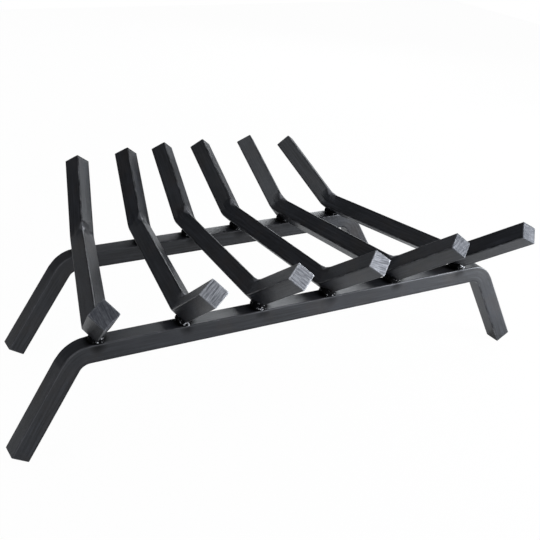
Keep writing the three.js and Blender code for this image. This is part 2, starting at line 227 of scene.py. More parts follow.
class GrateWelds(bpy.types.PropertyGroup):
    """Beads on either side of a bar wherever it crosses a rail."""

    leg: length("Leg", "Reach of a bead along the rail", 6.4)
    climb: share("Climb", "Its reach up the bar, in legs", 1.25)
    root: length("Root", "How far its back reaches into the corner", 2)
    crown: length("Crown", "Bulge past a straight fillet", 0.9)
    overrun: length("Overrun", "Past the rail's front face", 0.4)
    sag: length("Sag", "Over the rail's front edge", 0.5)
    ripple: length("Ripple", "Height of the ripples", 0.22)
    ripple_bow: length("Ripple bow", "How far the crescents bow", 0.9)
    lumps: length("Lumps", "Height of the slag's lumps", 0.3)
    lump_size: length("Lump size", "Length of a slag lump", 1.1)
    pitch: length("Ripple pitch", "From ripple to ripple", 1.9)
    start_swell: share("Start", "Share by which it is fatter where it starts", 0.18)
    wander: share("Wander", "Unevenness as a share of its leg", 0.1)
    shiver: share("Shiver", "Finer unevenness as a share of its leg", 0.03)
    fresh_reach: length("Fresh", "From its start, where slag has come away", 2.2)
    # How far the black round a weld reaches: heat scale, and painted shade for the shadowed
    # corners.
    scale_and_shade_reach: length("Scorch", "How far heat blackened the steel", 10.5)


class GrateFinish(bpy.types.PropertyGroup):
    """Colours of the steel."""

    black: colour("Black", "Satin black over the rolled bar", (0.008, 0.0087, 0.0115))
    streak: colour("Streak", "Paler streaks along the bar", (0.036, 0.039, 0.05))
    scorch: colour("Scorch", "Brown tint of heated steel", (0.03, 0.021, 0.016))
    # Near black round the welds: burnt scale, and painted shade for the shadow under the bars.
    scale: colour("Scale", "Burnt black round the welds", (0.0014, 0.0014, 0.0016))
    worn: colour("Worn edge", "Bare metal along rubbed edges", (0.42, 0.42, 0.45))
    bare: colour("Sawn steel", "Fresh metal on a sawn end", (0.62, 0.63, 0.68))
    burr: colour("Burr", "Bright rim of a sawn end", (0.85, 0.86, 0.9))
    groove: colour("Saw groove", "Dark in the saw's marks", (0.16, 0.165, 0.185))
    # Weld metal near black: scale, and painted shade for the shadowed corner under the bar.
    bead: colour("Bead", "Weld metal", (0.005, 0.005, 0.006))
    # Bare metal where slag has come away, painted bright also as its glints.
    bead_bright: colour("Bead highlight", "Bright specks on weld metal", (0.62, 0.62, 0.65))


# ---- Surfaces ---------------------------------------------------------------


def mesh_piece(name, points, faces, attributes, materials, face_slots, nodes):
    """Puts points and quads into a mesh. Doubles are merged, so that the seams are closed, and
    the faces are turned outwards."""
    mesh = bpy.data.meshes.new(name)
    mesh.from_pydata(points.tolist(), [], faces.tolist())
    for key, values in attributes.items():
        kind = "FLOAT_VECTOR" if values.ndim == 2 else "FLOAT"
        layer = mesh.attributes.new(key, kind, "POINT")
        field = "vector" if values.ndim == 2 else "value"
        layer.data.foreach_set(field, values.astype(np.float32).ravel())
    for material in materials:
        mesh.materials.append(material)
    mesh.polygons.foreach_set("material_index", face_slots.astype(np.int32))
    mesh.polygons.foreach_set("use_smooth", np.ones(len(faces), bool))
    joined = bmesh.new()
    joined.from_mesh(mesh)
    bmesh.ops.remove_doubles(joined, verts=joined.verts, dist=MERGE_GAP)
    bmesh.ops.recalc_face_normals(joined, faces=joined.faces)
    joined.to_mesh(mesh)
    joined.free()
    mesh.update()
    piece = bpy.data.objects.new(name, mesh)
    bpy.context.scene.collection.objects.link(piece)
    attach(piece, "root")
    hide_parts(*nodes)
    return piece


def grid_faces(rows, columns, closed, first=0):
    """Quads between neighbours of a grid of points, row by row. A closed grid joins its last
    column to its first."""
    row, column = np.mgrid[0:rows - 1, 0:columns - (0 if closed else 1)]
    beside = (column + 1) % columns
    here = first + row * columns
    quads = np.stack([here + column, here + beside,
                      here + columns + beside, here + columns + column], axis=-1)
    return quads.reshape(-1, 4)


def hum(x, y, seed, octaves=3):
    """Smooth unevenness between about -1 and 1: a sum of sine waves that cross at odd angles,
    each octave twice as fine and half as high."""
    total = np.zeros(np.broadcast(x, y).shape)
    for octave in range(octaves):
        for turn in range(3):
            bearing = seed * 1.7 + octave * 2.3 + turn * 2.1
            wave = (x * np.cos(bearing) + y * np.sin(bearing)) * 2.0 ** octave
            total += np.sin(wave + seed * 5.1 + turn * 1.3) / (3 * 2.0 ** octave)
    return total


def square_ring(half, radius, fade):
    """Section of square stock with rounded corners, faces square to the axes. Each side runs
    from the middle of one corner's arc to the next: half an arc, the flat, half an arc.
    Returns the points and each one's edge_wear_and_shade, 1 on the arc, falling off exponentially
    beside it: it marks rubbed metal, and a painted dark line that stands in for the dark the edges
    mirror."""
    arc = CORNER_STEPS
    turn = np.linspace(np.pi / 4, 0, arc + 1)[:-1]
    reach = half - radius
    first = np.stack([half - radius + radius * np.cos(turn), -reach - radius * np.sin(turn)], -1)
    flat = np.linspace(-reach, reach, SIDE_STEPS - 2 * arc + 1)
    middle = np.stack([np.full_like(flat, half), flat], -1)
    last = (first * (1, -1))[::-1][:-1]
    side = np.concatenate([first, middle, last])
    quarter_turn = np.array([[0, 1], [-1, 0]])
    sides = [side]
    for _ in range(3):
        sides.append(sides[-1] @ quarter_turn)
    ring = np.concatenate(sides)
    flat_edge_wear_and_shade = np.exp(-(reach - np.abs(flat)) / fade)
    edge_wear_and_shade = np.concatenate([np.ones(arc), flat_edge_wear_and_shade, np.ones(arc - 1)])
    return ring, np.tile(edge_wear_and_shade, 4)


def bent_line(corners, inside_radius, depth, reach, bevel):
    """Middle line of a rod that is bent in one plane. It is straight between its corners, and at
    each inner corner turns on an arc of the inside radius plus the depth, which leaves both
    straights at a tangent. Stations lie close together at bends and ends. Returns each
    station's point, heading, distance run, pinch (1 at a bend's middle, falling evenly to 0 at
    the reach along the inside) and how far its section is drawn in for the dressed burr."""
    corners = np.asarray(corners, float)
    runs = np.diff(corners, axis=0)
    headings = np.arctan2(runs[:, 1], runs[:, 0])
    turns = np.diff(headings)
    radius = inside_radius + depth
    setbacks = radius * np.tan(np.abs(turns) / 2)
    points = []
    station_headings = []
    pinches = []
    for number, heading in enumerate(headings):
        total = np.hypot(*runs[number])
        start = setbacks[number - 1] if number else 0.0
        end = total - (setbacks[number] if number < len(turns) else 0.0)
        count = int(np.ceil((end - start) / FAR_STEP))
        near = np.arange(1, int(np.ceil(reach / NEAR_STEP)) + 1) * NEAR_STEP
        stops = [np.linspace(start, end, count + 1), start + near, end - near]
        stops += [np.array([bevel, total - bevel]), np.array([bevel / 2, total - bevel / 2])]
        stops = np.unique(np.round(np.concatenate(stops), 7))
        stops = stops[(stops >= start - TOLERANCE) & (stops <= end + TOLERANCE)]
        # Beside a burr, stations that would lie too close to it go.
        if number == 0:
            stops = stops[(stops < bevel * 1.01) | (stops > bevel * 1.8)]
        if number == len(turns):
            stops = stops[(stops > total - bevel * 1.01) | (stops < total - bevel * 1.8)]
        direction = np.array([np.cos(heading), np.sin(heading)])
        points.append(corners[number] + stops[:, None] * direction)
        station_headings.append(np.full(len(stops), heading))
        away = np.full(len(stops), np.inf)
        if number:
            away = inside_radius * abs(turns[number - 1]) / 2 + stops - start
        if number < len(turns):
            away = np.minimum(away, inside_radius * abs(turns[number]) / 2 + end - stops)
        pinches.append(np.clip(1 - away / reach, 0, 1))
        if number < len(turns):
            side = np.sign(turns[number])
            arc = np.linspace(0, 1, BEND_STEPS + 1)[1:-1]
            begin = corners[number] + direction * end
            centre = begin + side * radius * np.array([-direction[1], direction[0]])
            turned = heading + turns[number] * arc
            points.append(centre - side * radius * np.stack([-np.sin(turned), np.cos(turned)], -1))
            station_headings.append(turned)
            away = inside_radius * np.abs(turns[number]) * np.abs(arc - 0.5)
            pinches.append(np.clip(1 - away / reach, 0, 1))
    points = np.concatenate(points)
    step = np.hypot(*np.diff(points, axis=0).T)
    run = np.concatenate([[0], np.cumsum(step)])
    from_end = np.minimum(run, run[-1] - run)
    return {
        "point": points,
        "heading": np.concatenate(station_headings),
        "run": run,
        "pinch": np.concatenate(pinches),
        "inset": np.clip(bevel - from_end, 0, bevel),
    }


def sweep(line, along, sections, half):
    """Carries a section along a rod in an upright plane: a point lies at the station's place in
    the plane, plus its across part level and square to the plane, plus its up part square to
    the rod. A station's inset draws its section in evenly. Returns a grid of points."""
    up = np.array([0.0, 0.0, 1.0])
    along = np.asarray(along, float)
    across = np.cross(along, up)
    heading = line["heading"][:, None]
    lift = up * np.cos(heading) - along * np.sin(heading)
    middle = line["point"][:, :1] * along + line["point"][:, 1:] * up
    drawn = (1 - line["inset"] / half)[:, None, None]
    return (middle[:, None, :] + sections[..., :1] * drawn * across
            + sections[..., 1:] * drawn * lift[:, None, :])


def end_face(ring, place):
    """Closes a sawn end with a square grid. A grid point lies on one of the nested squares round
    the middle: the ring's point in the same direction, scaled by that square's share.
    `place` turns section points into space. Returns points, quads, section points and shares."""
    half_count = SIDE_STEPS // 2
    i, j = np.mgrid[-half_count:half_count + 1, -half_count:half_count + 1]
    size = np.maximum(np.abs(i), np.abs(j))
    safe = np.maximum(size, 1)
    x = i / safe
    y = j / safe
    # Which side of the ring, and how far along it from -1 to 1.
    side = np.select([x >= 1, y >= 1, x <= -1], [0, 1, 2], 3)
    way = np.select([x >= 1, y >= 1, x <= -1], [y, -x, -y], x)
    position = (side + (way + 1) / 2) * SIDE_STEPS
    closed = np.concatenate([ring, ring[:1]])
    low = np.floor(position).astype(int) % (4 * SIDE_STEPS)
    part = (position - np.floor(position))[..., None]
    rim = closed[low] * (1 - part) + closed[low + 1] * part
    outness = size / half_count
    flat = (rim * outness[..., None]).reshape(-1, 2)
    count = 2 * half_count + 1
    return place(flat), grid_faces(count, count, False), flat, outness.ravel()


def saw_marks(feed, cross, seed):
    """Height of a sawn end: nearly straight furrows across the feed, bowed a little, of uneven
    depth, from a fine and a coarse wave along the feed."""
    feed = feed + cross ** 2 / (2 * SAW_RADIUS)
    strength = 0.6 + 0.4 * np.sin(feed / SAW_PATCH + seed)
    fine = np.sin(feed / SAW_FINE + 0.8 * np.sin(feed / SAW_SHIFT + seed))
    coarse = np.sin(feed / SAW_COARSE + 1.3 * np.sin(cross / SAW_WANDER + seed))
    return strength * (0.5 * fine + 0.5 * coarse)


def rolled_faces(stock, line, x, y, waves, seed):
    """The hum of rolled faces, along the rod and over its section, and the share that it leaves
    of each section point's distance from the middle."""
    rough = hum(line["run"][:, None] / waves[0], x / waves[1] + y / waves[2], seed)
    return rough, 1 - stock.unevenness * (1 + rough) / stock.side


def weld_scale_and_shade_at(points):
    """Heat scale from the welds, and painted shade for the shadowed corners where bars cross rails:
    1 at a crossing, falling off with distance as a bell curve.
    """
    crossings = [lay_out_bar(bpy.context.scene, number)["crossings"][name]["at"]
                 for number in range(len(HAND_SET_BARS)) for name in OUTWARD]
    gap = points[:, None, :] - np.array(crossings)[None]
    distance = np.sqrt((gap ** 2).sum(axis=2).min(axis=1))
    reach = bpy.context.scene.grate_welds.scale_and_shade_reach
    return np.exp(-((distance / reach) ** 2))


def rod_mesh(line, along, sections, edge_wear_and_shade, polished, half, saw, seed, bearings, place):
    """Points, quads, attributes and material slots of a whole rod with its two sawn ends, whose
    saw marks have the given bearings. Slot 0 is the rolled bar, 1 and 2 are the ends. The
    `coat` attribute holds millimetres round the section and along the rod, and on an end the
    section's own two directions, turned to the saw's feed. `edge_wear_and_shade` is 1 on a
    rounded long edge and on an end's rim, for rubbed metal and for a painted dark edge line,
    `polished` where handling rubs off the black, and `scorch` at a weld, for heat scale and for
    painted shade in the shadowed corners."""
    rows, columns = sections.shape[:2]
    body = sweep(line, along, sections, half)
    step = np.linalg.norm(np.diff(sections[0], axis=0, append=sections[0][:1]), axis=1)
    around = np.concatenate([[0], np.cumsum(step)[:-1]])
    coat = np.zeros((rows, columns, 3))
    coat[..., 0] = around / MM
    coat[..., 1] = line["run"][:, None] / MM
    coat[..., 2] = seed * COAT_APART
    points = [body.reshape(-1, 3)]
    coats = [coat.reshape(-1, 3)]
    edge_wear_and_shade_parts = [np.tile(edge_wear_and_shade, rows)]
    polishes = [polished.ravel()]
    faces = [grid_faces(rows, columns, True)]
    on_burr = line["inset"][:-1] != line["inset"][1:]
    nearer_end = np.where(np.arange(rows - 1) < rows // 2, 1, 2)
    slots = [np.repeat(nearer_end * on_burr, columns)]
    for row, outward, bearing in ((0, -1, bearings[0]), (rows - 1, 1, bearings[1])):
        heading = line["heading"][row]
        facing = np.cos(heading) * np.asarray(along) + np.array([0, 0, np.sin(heading)])
        one = {key: line[key][row:row + 1] for key in ("point", "heading", "inset")}
        ring = sections[row]

        def on_end(flat, one=one):
            return sweep(one, along, flat[None], half)[0]

        cap, quads, flat, outness = end_face(ring, on_end)
        fade = np.clip((1 - outness) / FURROW_FADE, 0, 1)
        feed = flat[:, 0] * np.cos(bearing) + flat[:, 1] * np.sin(bearing)
        cross = -flat[:, 0] * np.sin(bearing) + flat[:, 1] * np.cos(bearing)
        depth = saw * (saw_marks(feed, cross, seed) - 1) * fade
        cap = cap + outward * depth[:, None] * facing
        apart = np.full(len(flat), seed * COAT_APART + outward)
        coats.append(np.column_stack([feed / MM, cross / MM, apart]))
        edge_wear_and_shade_parts.append(np.clip((outness - RIM_START) / RIM_WIDTH, 0, 1))
        polishes.append(np.zeros(len(flat)))
        faces.append(quads + sum(len(p) for p in points))
        points.append(cap)
        slots.append(np.full(len(quads), 1 if row == 0 else 2))
    placed = place(np.concatenate(points))
    attributes = {
        "coat": np.concatenate(coats),
        "edge_wear_and_shade": np.concatenate(edge_wear_and_shade_parts),
        "polished": np.concatenate(polishes),
        "scorch": weld_scale_and_shade_at(placed),
    }
    return placed, np.concatenate(faces), attributes, np.concatenate(slots)


# ---- Rails ------------------------------------------------------------------


def rail_line(scene, shoulder, splay):
    """A rail's middle line, foot to foot. Its square-cut ends reach a little under the hearth,
    by as much as the dressed land takes off."""
    stock = scene.grate_stock
    rails = scene.grate_rails
    half = stock.side / 2
    axis = RAIL_TOP - half
    land_depth = rails.land * np.sin(splay) * np.cos(splay)
    leg = (axis + land_depth - half * np.sin(splay)) / np.cos(splay)
    foot = shoulder + leg * np.sin(splay)
    low = axis - leg * np.cos(splay)
    corners = [(-foot, low), (-shoulder, axis), (shoulder, axis), (foot, low)]
    return bent_line(corners, rails.bend_radius, half, rails.pinch_reach, stock.bevel)


def rail_piece(scene, name, shoulder, splay, seed):
    """A rail: the rounded square carried along its line. A bend takes a little off the upper
    face and spreads the lower one, by its smoothed pinch. Its upper front edge is rubbed. What
    would reach under the hearth is flattened on it."""
    stock = scene.grate_stock
    rails = scene.grate_rails
    half = stock.side / 2
    line = rail_line(scene, shoulder, splay)
    ring, edge_wear_and_shade = square_ring(half, stock.corner, stock.edge_mask_fade)
    pinch = line["pinch"][:, None]
    pinch = pinch * pinch * (3 - 2 * pinch)
    x = ring[None, :, 0]
    y = ring[None, :, 1]
    spread = 1 - rails.flare * pinch * y / half
    thinning = rails.thinning * pinch * (1 + y / half) / 2
    rough, true = rolled_faces(stock, line, x, y, RAIL_WAVES, seed)
    sections = np.stack([x * spread * true, (y - thinning) * true], -1)
    polished = rails.rubbed * edge_wear_and_shade * (x > 0) * (y > 0) * (0.7 + 0.3 * rough)

    def stand(points):
        placed = points + (0, RAIL_Y[name], 0)
        placed[:, 2] = np.maximum(placed[:, 2], 0)
        return placed

    points, faces, attributes, slots = rod_mesh(
        line, (1, 0, 0), sections, edge_wear_and_shade, polished, half, stock.saw_depth, seed, (0.4, 1.1),
        stand)
    steel = black_steel(scene)
    sawn = painted_end(scene)
    return mesh_piece(name + "_rail_bar", points, faces, attributes, [steel, sawn, sawn], slots,
                      [name + "_rail"])


# ---- Log bars ---------------------------------------------------------------


def rounded_tip(half, radius):
    """From the middle of square stock to the tip of a rounded corner."""
    return half * np.sqrt(2) - (np.sqrt(2) - 1) * radius


def lay_out_bar(scene, number):
    """Where a bar lies: its crossings share the shoulders evenly, plus its own stray, and its
    middle line runs from sawn end to sawn end in its own upright plane."""
    stock = scene.grate_stock
    bars = scene.grate_bars
    rails = scene.grate_rails
    hand = HAND_SET_BARS[number]
    place = 2 * number / (len(HAND_SET_BARS) - 1) - 1
    nominal = {
        "front": (rails.front_shoulder - bars.front_inset, bars.front_bend, bars.front_arm,
                  bars.front_rise),
        "rear": (rails.rear_shoulder - bars.rear_inset, bars.rear_bend, bars.rear_arm,
                 bars.rear_rise),
    }
    crossings = {}
    for name, (reach, bend, arm, rise) in nominal.items():
        stray, bend_more, arm_more, rise_more = hand[name]
        bend = bend + bend_more * stock.side
        arm = arm + arm_more * stock.side
        rise = rise + np.radians(rise_more)
        crossings[name] = {
            "at": np.array([place * reach + stray * stock.side, RAIL_Y[name], RAIL_TOP]),
            "outward": OUTWARD[name],
            "bend": bend,
            "rise": rise,
            "reach": bend + arm * np.cos(rise),
            "climb": arm * np.sin(rise),
        }
    front = crossings["front"]
    rear = crossings["rear"]
    gap = rear["at"] - front["at"]
    span = np.hypot(gap[0], gap[1])
    roll = np.radians(hand["roll"])
    tip = rounded_tip(stock.side / 2, stock.seat_corner)
    axis = tip * np.cos(roll) + stock.fit_gap
    return {
        "turn": np.arctan2(-gap[0], gap[1]),
        "roll": roll,
        "edge_shift": tip * np.sin(roll),
        "crossings": crossings,
        "corners": [
            (-front["reach"], axis + front["climb"]),
            (-front["bend"], axis),
            (span + rear["bend"], axis),
            (span + rear["reach"], axis + rear["climb"]),
        ],
    }


def placed_at(crossing, turn):
    """Turns points about the upright through a crossing and moves them there."""
    cos, sin = np.cos(turn), np.sin(turn)
    matrix = np.array([[cos, -sin, 0], [sin, cos, 0], [0, 0, 1]])
    return lambda points: points @ matrix.T + crossing["at"]


def bar_piece(scene, number):
    """A log bar: the rounded square on edge, carried along its line. A bend squeezes the top
    edge into a low roof: crest, two sides and two lips, each moved from its plain place by the
    pinch. The section is the higher of the plain one and that roof, and the middle of the roof
    is rubbed bright."""
    stock = scene.grate_stock
    bars = scene.grate_bars
    half = stock.side / 2
    layout = lay_out_bar(scene, number)
    depth = half * np.sqrt(2)
    line = bent_line(layout["corners"], bars.bend_radius, depth, bars.mark_reach, stock.bevel)
    ring, edge_wear_and_shade = square_ring(half, stock.corner, stock.edge_mask_fade)
    diagonal = np.sqrt(0.5)
    off = ((ring[:, 0] - ring[:, 1]) * diagonal)[None]
    out = ((ring[:, 0] + ring[:, 1]) * diagonal)[None]
    pinch = line["pinch"][:, None]
    plain = stock.corner * diagonal
    crest = (1 - pinch) * rounded_tip(half, stock.corner) + pinch * (depth + bars.mark_crest)
    side = (1 - pinch) * plain + pinch * bars.mark_half_width
    side_height = depth - ((1 - pinch) * plain + pinch * bars.mark_side)
    lip_height = bars.lip_height * pinch * diagonal
    lip = bars.lip_offset + lip_height
    lip_out = depth - bars.lip_offset + lip_height
    width = np.abs(off)
    inner = crest + (side_height - crest) * width / side
    outer = side_height + (lip_out - side_height) * (width - side) / (lip - side)
    roof = np.where(width < side, inner, np.where(width < lip, outer, -np.inf))
    swollen = np.where((out > 0) & (pinch > 0), np.maximum(out, roof), out)
    raised = np.clip((swollen - out) / stock.pressed, 0, 1)
    polished = raised * np.sqrt(np.clip(1 - width / side, 0, 1))
    true = rolled_faces(stock, line, off, out, BAR_WAVES, number + 3)[1]
    roll = layout["roll"]
    x = -(np.sin(roll) * swollen + np.cos(roll) * off) * true
    y = (np.cos(roll) * swollen - np.sin(roll) * off) * true
    sections = np.stack([x, y], -1)
    turn = np.radians(45 + HAND_SET_BARS[number]["saw"])
    points, faces, attributes, slots = rod_mesh(
        line, (0, 1, 0), sections, edge_wear_and_shade, polished, half, stock.saw_depth, number + 1.0,
        (turn, turn + 0.5), placed_at(layout["crossings"]["front"], layout["turn"]))
    name = "log_bar_%d" % (number + 1)
    # The fifth and sixth bars' low bare share is painted shade, offsetting the low lamp at the
    # right.
    bare = sawn_steel(scene, HAND_SET_BARS[number]["bare"])
    return mesh_piece(name + "_steel", points, faces, attributes,
                      [black_steel(scene), bare, painted_end(scene)], slots, [name])


# ---- Weld beads -------------------------------------------------------------


def edge_lift(scene, crossing, along):
    """How far a bar's bottom edge has lifted off the rail at a distance along the bar: nothing
    up to the bend, the sagitta of the bend's outer arc over it, then the rising straight."""
    bars = scene.grate_bars
    depth = scene.grate_stock.side / 2 * np.sqrt(2)
    rise = crossing["rise"]
    setback = (bars.bend_radius + depth) * np.tan(rise / 2)
    outer = bars.bend_radius + 2 * depth
    arc = outer * np.sin(rise)
    run = np.maximum(0, crossing["outward"] * along - (crossing["bend"] - setback))
    on_arc = outer - np.sqrt(np.maximum(outer ** 2 - np.minimum(run, arc) ** 2, 0))
    return on_arc + np.maximum(run - arc, 0) * np.tan(rise)


def bead_piece(scene, number, name, hand, side, phase):
    """A bead laid in the corner between rail and bar. Across, its face runs from the toe on the
    rail to the toe on the bar with a sine crown, and its back runs inside both. Along, a
    blunt-ended taper and a swelling at its start scale it, and crescent ripples and lumps of
    slag lie over it. `fresh` is 1 at its start."""
    stock = scene.grate_stock
    welds = scene.grate_welds
    layout = lay_out_bar(scene, number)
    crossing = layout["crossings"][name]
    half_run = stock.side / 2 / np.cos(layout["turn"])
    opening = np.pi / 4 + side * layout["roll"]
    spot = np.sin(np.linspace(-np.pi / 2, np.pi / 2, BEAD_STATIONS))[:, None]
    blunt = np.maximum(1 - np.abs(spot) ** TAPER_POWERS[0], 0) ** TAPER_POWERS[1]
    swell = welds.start_swell * np.exp(-(((spot - SWELL_PLACE) / SWELL_WIDTH) ** 2))
    wave = np.sin(WANDER_WAVES * spot + phase)
    shiver = np.sin(SHIVER_WAVES * spot + 2 * phase)
    uneven = welds.wander * wave + welds.shiver * shiver
    leg = welds.leg * blunt * (1 + swell + uneven)
    along = (-half_run - welds.overrun) + (2 * half_run + welds.overrun) * (spot + 1) / 2
    lift = edge_lift(scene, crossing, along)
    climb = leg * welds.climb
    bar_x = climb * np.cos(opening)
    bar_y = lift + climb * np.sin(opening)
    q = np.linspace(0, 1, BEAD_STEPS)[None, :]
    chord_x = bar_x - leg
    chord_y = bar_y
    chord = np.maximum(np.hypot(chord_x, chord_y), TOLERANCE * MM)
    arch = np.sin(np.pi * q)
    bow = welds.ripple_bow * (2 * q - 1) ** 2
    ripple = welds.ripple * np.abs(np.sin(np.pi * (along - bow) / welds.pitch + phase))
    lumps = welds.lumps * hum(along / welds.lump_size, q * LUMPS_ACROSS, phase)
    crown = blunt * ((welds.crown + lumps) * arch + ripple * np.maximum(arch, 0) ** 0.5)
    face_x = leg + chord_x * q + chord_y / chord * crown
    face_y = chord_y * q - chord_x / chord * crown
    root = welds.root * blunt
    sag = -welds.sag * blunt
    inside = np.zeros_like(leg)
    back_x = np.concatenate(
        [bar_x - root * np.sin(opening), inside, inside, leg * BEAD_UNDER], axis=1)
    back_y = np.concatenate([bar_y + root * np.cos(opening), lift + root, sag, sag], axis=1)
    section_x = np.concatenate([face_x, back_x], axis=1)
    section_y = np.concatenate([face_y, back_y], axis=1)
    grid = np.stack([layout["edge_shift"] + side * section_x,
                     np.broadcast_to(along, section_x.shape), section_y], -1)
    rows, columns = section_x.shape
    faces = grid_faces(rows, columns, True)
    fresh = np.exp(-(((along - along.min()) / welds.fresh_reach) ** 2))
    place = placed_at(crossing, layout["turn"])
    label = "%s_%d_%s" % (name, number + 1, hand)
    return mesh_piece("bead_" + label, place(grid.reshape(-1, 3)), faces,
                      {"fresh": np.repeat(fresh.ravel(), columns)},
                      [weld_metal(scene)], np.zeros(len(faces), int), ["weld_" + label])


# ---- Finishes ---------------------------------------------------------------


class Nodes:
    """The nodes of a material or a world, added and joined one call at a time."""

    def __init__(self, owner):
        owner.use_nodes = True
        self.tree = owner.node_tree
        self.tree.nodes.clear()

    def node(self, kind, **settings):
        """Adds a node and sets its properties."""
        made = self.tree.nodes.new(kind)
        for key, value in settings.items():
            setattr(made, key, value)
        return made

    def feed(self, made, **inputs):
        """Sets or joins a node's inputs, by name with _ for a space, or by number after a _."""
        for key, value in inputs.items():
            numbered = key[1:].isdigit()
            socket = made.inputs[int(key[1:]) if numbered else key.replace("_", " ")]
            if isinstance(value, bpy.types.NodeSocket):
                self.tree.links.new(value, socket)
            else:
                socket.default_value = value
        return made

    def attribute(self, name, output):
        """Reads a value or a vector that the piece's mesh holds."""
        return self.node("ShaderNodeAttribute", attribute_name=name).outputs[output]

    def scaled(self, vector, scale):
        """Stretches a pattern's coordinates."""
        return self.feed(self.node("ShaderNodeMapping"), Vector=vector, Scale=scale).outputs[0]

    def noise(self, vector, scale, detail, roughness):
        """Cloudy noise, about 0.5 on average."""
        made = self.node("ShaderNodeTexNoise")
        return self.feed(made, Vector=vector, Scale=scale, Detail=detail,
                         Roughness=roughness).outputs[0]

    def ramp(self, value, low, high, start=0.0, end=1.0):
        """Maps low..high to start..end, and stops there."""
        made = self.node("ShaderNodeMapRange")
        self.feed(made, Value=value, From_Min=low, From_Max=high, To_Min=start, To_Max=end)
        return made.outputs[0]

    def maths(self, operation, a, b):
        """One step of arithmetic on two values."""
        made = self.node("ShaderNodeMath", operation=operation)
        return self.feed(made, _0=a, _1=b).outputs[0]

    def mix(self, part, a, b):
        """From colour a to colour b as the part goes from 0 to 1."""
        made = self.node("ShaderNodeMix", data_type="RGBA")
        self.feed(made, _0=part, _6=a, _7=b)
        return made.outputs[2]

    def bump(self, height, strength, distance):
        """Tilts the surface by a height, at its full size over a distance in metres."""
        made = self.node("ShaderNodeBump")
        return self.feed(made, Height=height, Strength=strength, Distance=distance).outputs[0]

    def blend(self, part, first, second, output):
        """Ends in the first shader where the part is 0, and in the second where it is 1."""
        mixed = self.feed(self.node("ShaderNodeMixShader"), _0=part, _1=first, _2=second)
        self.feed(self.node(output), Surface=mixed.outputs[0])


class Shader(Nodes):
    """The nodes of a material with one surface."""

    def __init__(self, name):
        self.material = bpy.data.materials.new(name)
        super().__init__(self.material)
        self.surface = self.node("ShaderNodeBsdfPrincipled")
        self.feed(self.node("ShaderNodeOutputMaterial"), Surface=self.surface.outputs[0])


def rgba(value):
    """A colour with full opacity."""
    return (*value, 1.0)


def known(name, make):
    """A material by name, made once. The frame has materials called after its slots, so the names
    here are others."""
    found = bpy.data.materials.get(name)
    return found if found else make(name)


def black_steel(scene):
    """Satin black over rolled bar: paler streaks and fine scratches that run along the bar,
    blotches of brown scorch, black round the welds that is heat scale and also painted shade for
    the shadowed corners where bars cross rails, a painted dark line beside the long edges that
    stands in for the dark they mirror, and metal rubbed bright along them and where a bend has
    squeezed it. What is dull is metal with a black colour, because that mirrors least."""
    finish = scene.grate_finish

    def make(name):
        s = Shader(name)
        coat = s.attribute("coat", "Vector")
        edge_wear_and_shade = s.attribute("edge_wear_and_shade", "Fac")
        polished = s.attribute("polished", "Fac")
        scale_and_shade_near_welds = s.attribute("scorch", "Fac")
        place = s.node("ShaderNodeTexCoord").outputs["Object"]
        # Noise stretched along the bar, and noise in space.
        streaks = s.noise(s.scaled(coat, (0.5, 0.018, 1.0)), 1.0, 5.0, 0.6)
        fine = s.noise(s.scaled(coat, (2.2, 0.04, 1.0)), 1.0, 4.0, 0.6)
        blotch = s.noise(place, 28.0, 4.0, 0.6)
        cloud = s.noise(place, 11.0, 3.0, 0.6)
        grain = s.noise(place, 900.0, 3.0, 0.6)
        streak = s.maths("MULTIPLY", s.ramp(streaks, 0.42, 0.7), s.ramp(fine, 0.3, 0.7, 0.25, 1.0))
        streak = s.maths("MAXIMUM", streak, s.ramp(cloud, 0.4, 0.7, 0.0, 0.55))
        base = s.mix(streak, rgba(finish.black), rgba(finish.streak))
        base = s.mix(s.ramp(blotch, 0.5, 0.7, 0.0, 0.35), base, rgba(finish.scorch))
        # Dull: a painted dark line beside the edges, standing in for the dark they mirror; dead
        # black at the welds, heat scale and painted shade in the shadowed corners where bars cross
        # rails; and in dry streaks.
        edge = s.ramp(edge_wear_and_shade, 0.05, 0.4)
        # Near the crossings: heat scale and painted shade for the shadowed corners, made ragged by
        # the blotches.
        ragged = s.maths("ADD", scale_and_shade_near_welds, s.ramp(blotch, 0.3, 0.7, -0.15, 0.15))
        scale = s.ramp(ragged, 0.15, 0.6)
        dull = s.maths("MAXIMUM", s.maths("MULTIPLY", edge, 0.5), s.maths("MULTIPLY", scale, 0.97))
        base = s.mix(dull, base, rgba(finish.scale))
        dry = s.maths("ADD", s.maths("MULTIPLY", streaks, 0.5), s.maths("MULTIPLY", fine, 0.5))
        dull = s.maths("MAXIMUM", dull, s.ramp(dry, 0.54, 0.4, 0.0, 0.2))
        # Rubbed in stretches of the edges, but not at the welds.
        rubbed = s.noise(s.scaled(coat, (0.2, 0.07, 1.0)), 1.0, 4.0, 0.7)
        rubbed = s.maths("MULTIPLY", s.ramp(rubbed, 0.42, 0.8), s.ramp(edge_wear_and_shade, 0.6, 1.0))
        rubbed = s.maths("MULTIPLY", rubbed, s.ramp(scale, 0.0, 0.5, 1.0, 0.0))
        rubbed = s.maths("MAXIMUM", rubbed, s.maths("MULTIPLY", polished, 0.9))
        base = s.mix(s.maths("MULTIPLY", rubbed, 0.45), base, rgba(finish.worn))
        rough = s.ramp(s.maths("ADD", fine, grain), 0.8, 1.2, 0.3, 0.45)
        rough = s.maths("ADD", rough, s.maths("MULTIPLY", scale, 0.28))
        height = s.maths("ADD", s.maths("MULTIPLY", fine, 0.5), s.maths("MULTIPLY", grain, 0.35))
        s.feed(s.surface, Base_Color=base, Roughness=rough,
               Metallic=s.maths("MAXIMUM", dull, s.maths("MULTIPLY", rubbed, 0.7)),
               Normal=s.bump(height, 0.25, 0.00014))
        s.surface.inputs["Specular IOR Level"].default_value = 0.52
        return s.material

    return known("satin_black_bar", make)


